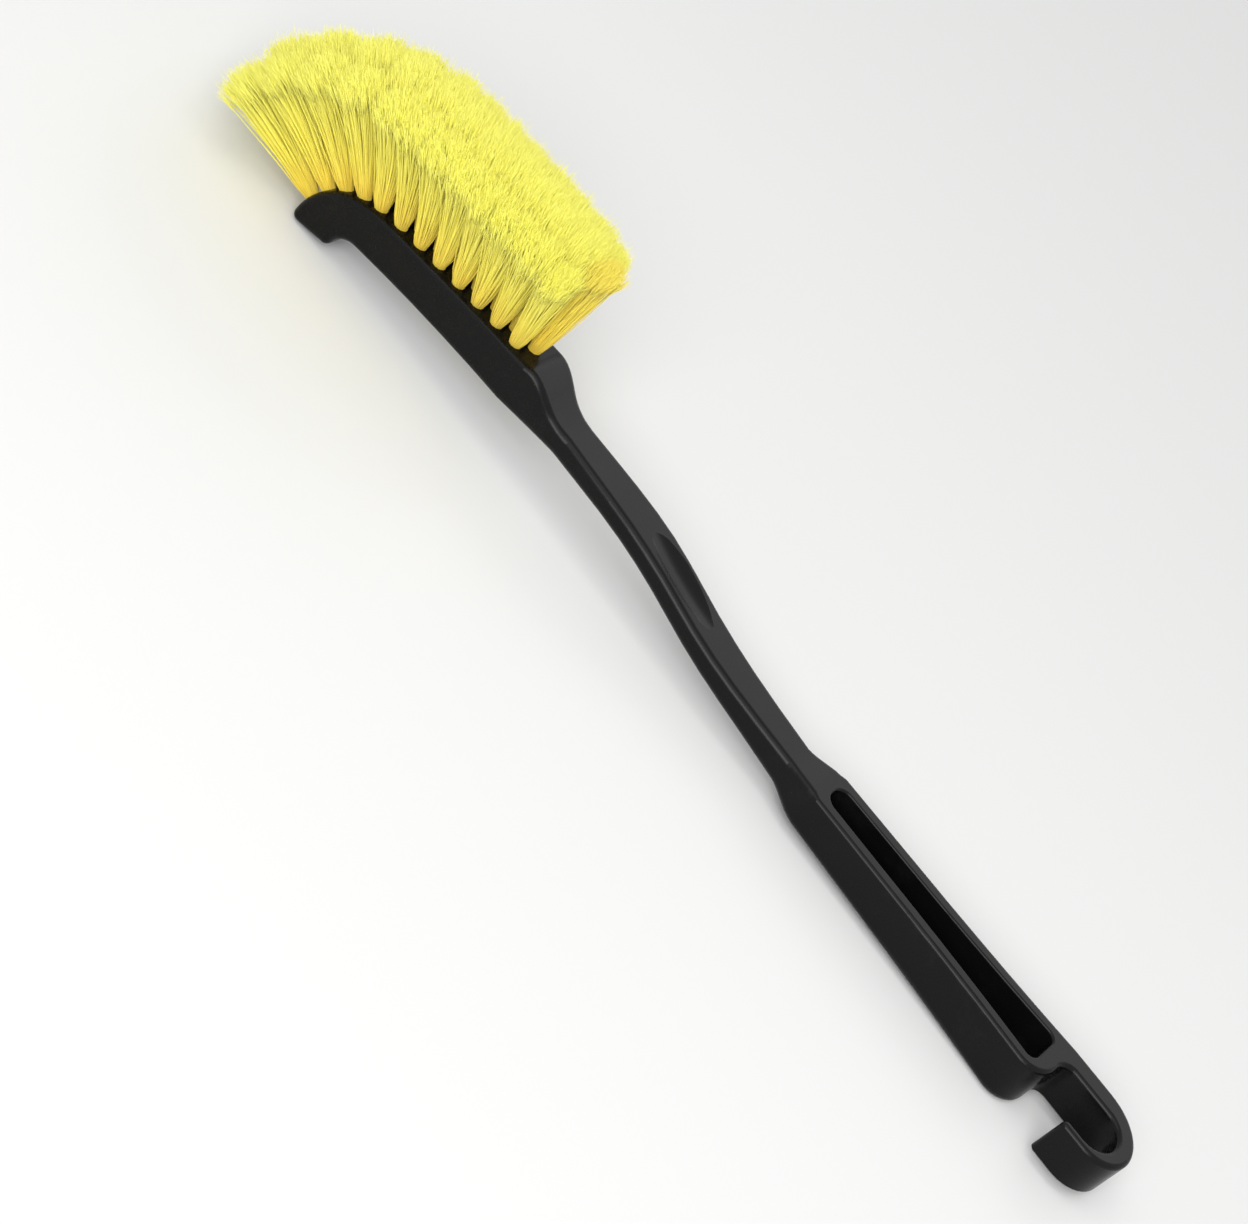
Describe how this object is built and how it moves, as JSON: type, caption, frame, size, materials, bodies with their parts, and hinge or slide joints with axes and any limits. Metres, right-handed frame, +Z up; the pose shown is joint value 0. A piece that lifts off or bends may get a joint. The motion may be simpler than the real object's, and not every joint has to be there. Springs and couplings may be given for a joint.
{
  "type": "wheel brush",
  "caption": "Slim hand brush for wheel rims: dark moulded handle with a curled hanging hook and slotted grip, and a narrow arched head of fanned yellow bristle tufts.",
  "frame": {"origin": "middle of the bounding box in plan, at the floor under the grip's rear and the nose's foot; the brush lies on its back, bristles up", "axes": "+X along the handle from the hook's tail to the nose; +Y to the side where the hook is open; +Z up, the way the bristles point"},
  "size_m": [0.3321, 0.0426, 0.0601],
  "materials": {
    "handle_plastic": "satin",
    "bristle": "satin",
    "anchor_metal": "satin"
  },
  "bodies": {
    "root": {"handle": "handle_plastic", "anchor_staples": "anchor_metal", "tuft_near_01": "bristle", "tuft_near_02": "bristle", "tuft_near_03": "bristle", "tuft_near_04": "bristle", "tuft_near_05": "bristle", "tuft_near_06": "bristle", "tuft_near_07": "bristle", "tuft_near_08": "bristle", "tuft_near_09": "bristle", "tuft_near_10": "bristle", "tuft_near_11": "bristle", "tuft_near_12": "bristle", "tuft_middle_01": "bristle", "tuft_middle_02": "bristle", "tuft_middle_03": "bristle", "tuft_middle_04": "bristle", "tuft_middle_05": "bristle", "tuft_middle_06": "bristle", "tuft_middle_07": "bristle", "tuft_middle_08": "bristle", "tuft_middle_09": "bristle", "tuft_middle_10": "bristle", "tuft_middle_11": "bristle", "tuft_middle_12": "bristle", "tuft_far_01": "bristle", "tuft_far_02": "bristle", "tuft_far_03": "bristle", "tuft_far_04": "bristle", "tuft_far_05": "bristle", "tuft_far_06": "bristle", "tuft_far_07": "bristle", "tuft_far_08": "bristle", "tuft_far_09": "bristle", "tuft_far_10": "bristle", "tuft_far_11": "bristle", "tuft_far_12": "bristle"}
  },
  "joints": []
}
